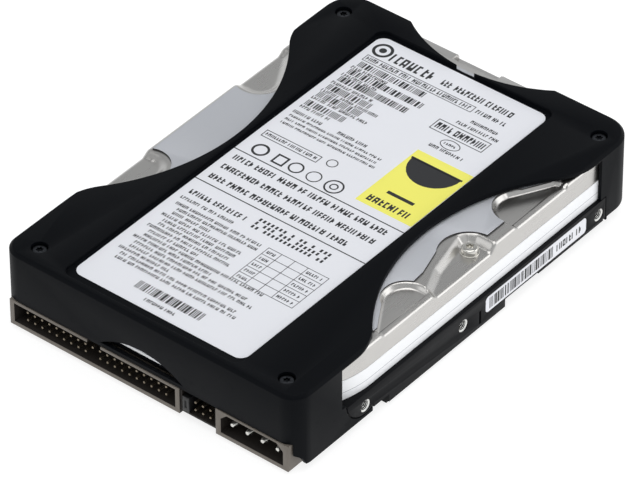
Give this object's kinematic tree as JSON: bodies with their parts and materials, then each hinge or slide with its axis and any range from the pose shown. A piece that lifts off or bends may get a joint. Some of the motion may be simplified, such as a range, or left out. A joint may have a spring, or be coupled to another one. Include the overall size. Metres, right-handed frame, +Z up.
{
  "type": "hard disk drive",
  "caption": "Desktop hard disk drive in a black shock jacket, with a sealed disc and head assembly, a circuit board, and data, jumper and power connectors.",
  "frame": {"origin": "middle of the bottom face, between the two mounting rails", "axes": "+Z up through the cover, +Y towards the rear away from the connectors, +X towards the side with the narrow label"},
  "size_m": [0.1016, 0.147, 0.0261],
  "materials": {
    "cast_black": "fine black electrocoat",
    "cover_steel": "satin pressed stainless",
    "damper_steel": "flat cool satin",
    "black_seal": "matt foam rubber",
    "screw_steel": "bright zinc",
    "dark_steel": "black oxide",
    "white_film": "satin film",
    "jacket_rubber": "satin black",
    "label_paper": "printed film",
    "housing_plastic": "brown grey moulding",
    "pin_metal": "tin and gold flash",
    "black_plastic": "moulded",
    "board_green": "solder mask",
    "shield_steel": "satin plated",
    "chip_black": "moulded epoxy",
    "can_metal": "nickel can",
    "ceramic_tan": "fired ceramic",
    "machined_aluminium": "machined",
    "machined_steel": "ground",
    "magnet_nickel": "nickel plate",
    "ferrite_dark": "bonded magnet",
    "copper_wire": "enamelled copper",
    "disc_mirror": "sputtered mirror",
    "kapton_film": "amber film",
    "filter_cloth": "white felt",
    "nylon_cream": "moulded"
  },
  "bodies": {
    "case": {"base_casting": "cast_black", "top_cover": "cover_steel", "cover_gasket": "black_seal", "cover_damper": "damper_steel", "cover_screws": "screw_steel", "port_screw": "screw_steel", "port_nut": "screw_steel", "seam_tape": "white_film", "shock_jacket": "jacket_rubber", "jacket_screws": "dark_steel", "main_label": "label_paper", "side_label": "label_paper", "connector_housing": "housing_plastic", "data_pins": "pin_metal", "jumper_pins": "pin_metal", "power_pins": "pin_metal", "circuit_board": "board_green", "board_insulator": "black_seal", "board_shield": "shield_steel", "board_screws": "screw_steel", "controller_chip": "chip_black", "buffer_chip": "chip_black", "motor_driver_chip": "chip_black", "clock_crystal": "can_metal", "capacitors": "ceramic_tan", "resistors": "chip_black", "spindle_base": "machined_aluminium", "stator_core": "machined_steel", "stator_coils": "copper_wire", "spindle_shaft": "machined_steel", "pivot_shaft": "machined_steel", "flex_cable": "kapton_film", "flex_bracket": "black_plastic", "motor_lower_yoke": "magnet_nickel", "motor_upper_yoke": "magnet_nickel", "motor_magnets": "magnet_nickel", "yoke_posts": "machined_steel", "crash_stops": "black_seal", "latch_pin": "machined_steel", "recirculation_filter": "filter_cloth", "breather_filter": "filter_cloth"},
    "rotor": {"spindle_bearings": "machined_steel", "spindle_hub": "machined_aluminium", "rotor_yoke": "machined_steel", "rotor_magnet": "ferrite_dark", "disc_platter": "disc_mirror", "disc_spacer": "machined_aluminium", "disc_clamp": "machined_aluminium", "clamp_screws": "screw_steel"},
    "actuator": {"pivot_bearings": "machined_steel", "pivot_sleeve": "machined_aluminium", "actuator_arm": "machined_aluminium", "voice_coil": "copper_wire", "coil_frame": "black_plastic", "suspensions": "can_metal", "head_sliders": "chip_black", "preamp_chip": "chip_black"},
    "latch": {"actuator_latch": "nylon_cream"},
    "shorting_cap": {"jumper_cap": "black_plastic", "jumper_contact": "pin_metal"}
  },
  "joints": [
    {"name": "spindle_spin", "type": "hinge", "parent": "case", "child": "rotor", "pos_m": [0, 0.022, 0.014], "axis": [0, 0, 1], "continuous": true},
    {"name": "actuator_swing", "type": "hinge", "parent": "case", "child": "actuator", "pos_m": [0.031, -0.026, 0.0146], "axis": [0, 0, -1], "range_deg": [0, 30], "deforming": ["flex_cable"]},
    {"name": "latch_swing", "type": "hinge", "parent": "case", "child": "latch", "pos_m": [0.003, -0.047, 0.014], "axis": [0, 0, 1], "range_deg": [0, 18]},
    {"name": "jumper_pull", "type": "slide", "parent": "case", "child": "shorting_cap", "axis": [0, -1, 0], "range_m": [0, 0.008]}
  ]
}
